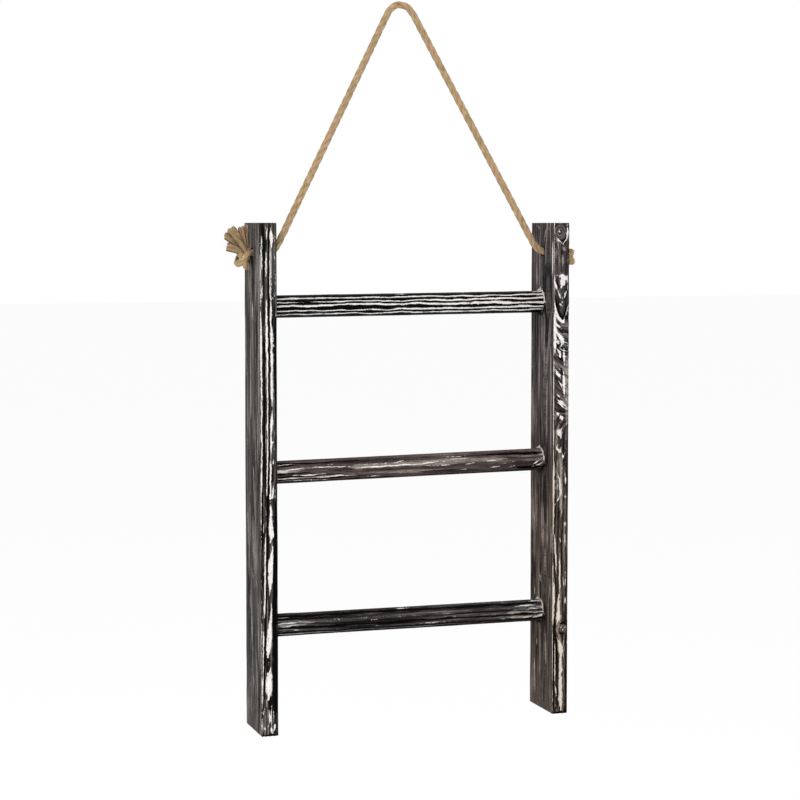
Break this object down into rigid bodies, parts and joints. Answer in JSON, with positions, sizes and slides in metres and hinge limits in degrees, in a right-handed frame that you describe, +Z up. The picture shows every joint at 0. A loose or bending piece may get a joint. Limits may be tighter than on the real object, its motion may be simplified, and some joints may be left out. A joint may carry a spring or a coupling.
{
  "type": "ladder towel rack",
  "caption": "Short wall ladder of charred, whitewashed boards and round wooden rungs, hung by one knotted rope loop, for towels.",
  "frame": {"origin": "the underside of the rope at the top of its loop, where the wall hook holds it", "axes": "+Z up, +X along the rungs from the left board to the right one, +Y towards the wall, so the front faces -Y"},
  "size_m": [0.4099, 0.0686, 0.8063],
  "materials": {
    "board_wood": "charred and brushed softwood, whitewash left in the grain, matte",
    "rung_wood": "charred dowel, whitewash streaks, low satin",
    "jute": "three-strand twisted jute, dry and slightly hairy",
    "nail_steel": "plain bright steel, dulled"
  },
  "bodies": {
    "hanger": {"rope": "jute", "left_knot": "jute", "right_knot": "jute", "left_rope_end": "jute", "right_rope_end": "jute"},
    "ladder": {"left_rail": "board_wood", "right_rail": "board_wood", "top_rung": "rung_wood", "middle_rung": "rung_wood", "bottom_rung": "rung_wood", "left_top_nail": "nail_steel", "left_middle_nail": "nail_steel", "left_bottom_nail": "nail_steel", "right_top_nail": "nail_steel", "right_middle_nail": "nail_steel", "right_bottom_nail": "nail_steel"}
  },
  "joints": [
    {"name": "ladder_swing", "type": "hinge", "parent": "hanger", "child": "ladder", "pos_m": [0, -0.03, -0.27248], "axis": [1, 0, 0], "range_deg": [-165, 145]}
  ]
}
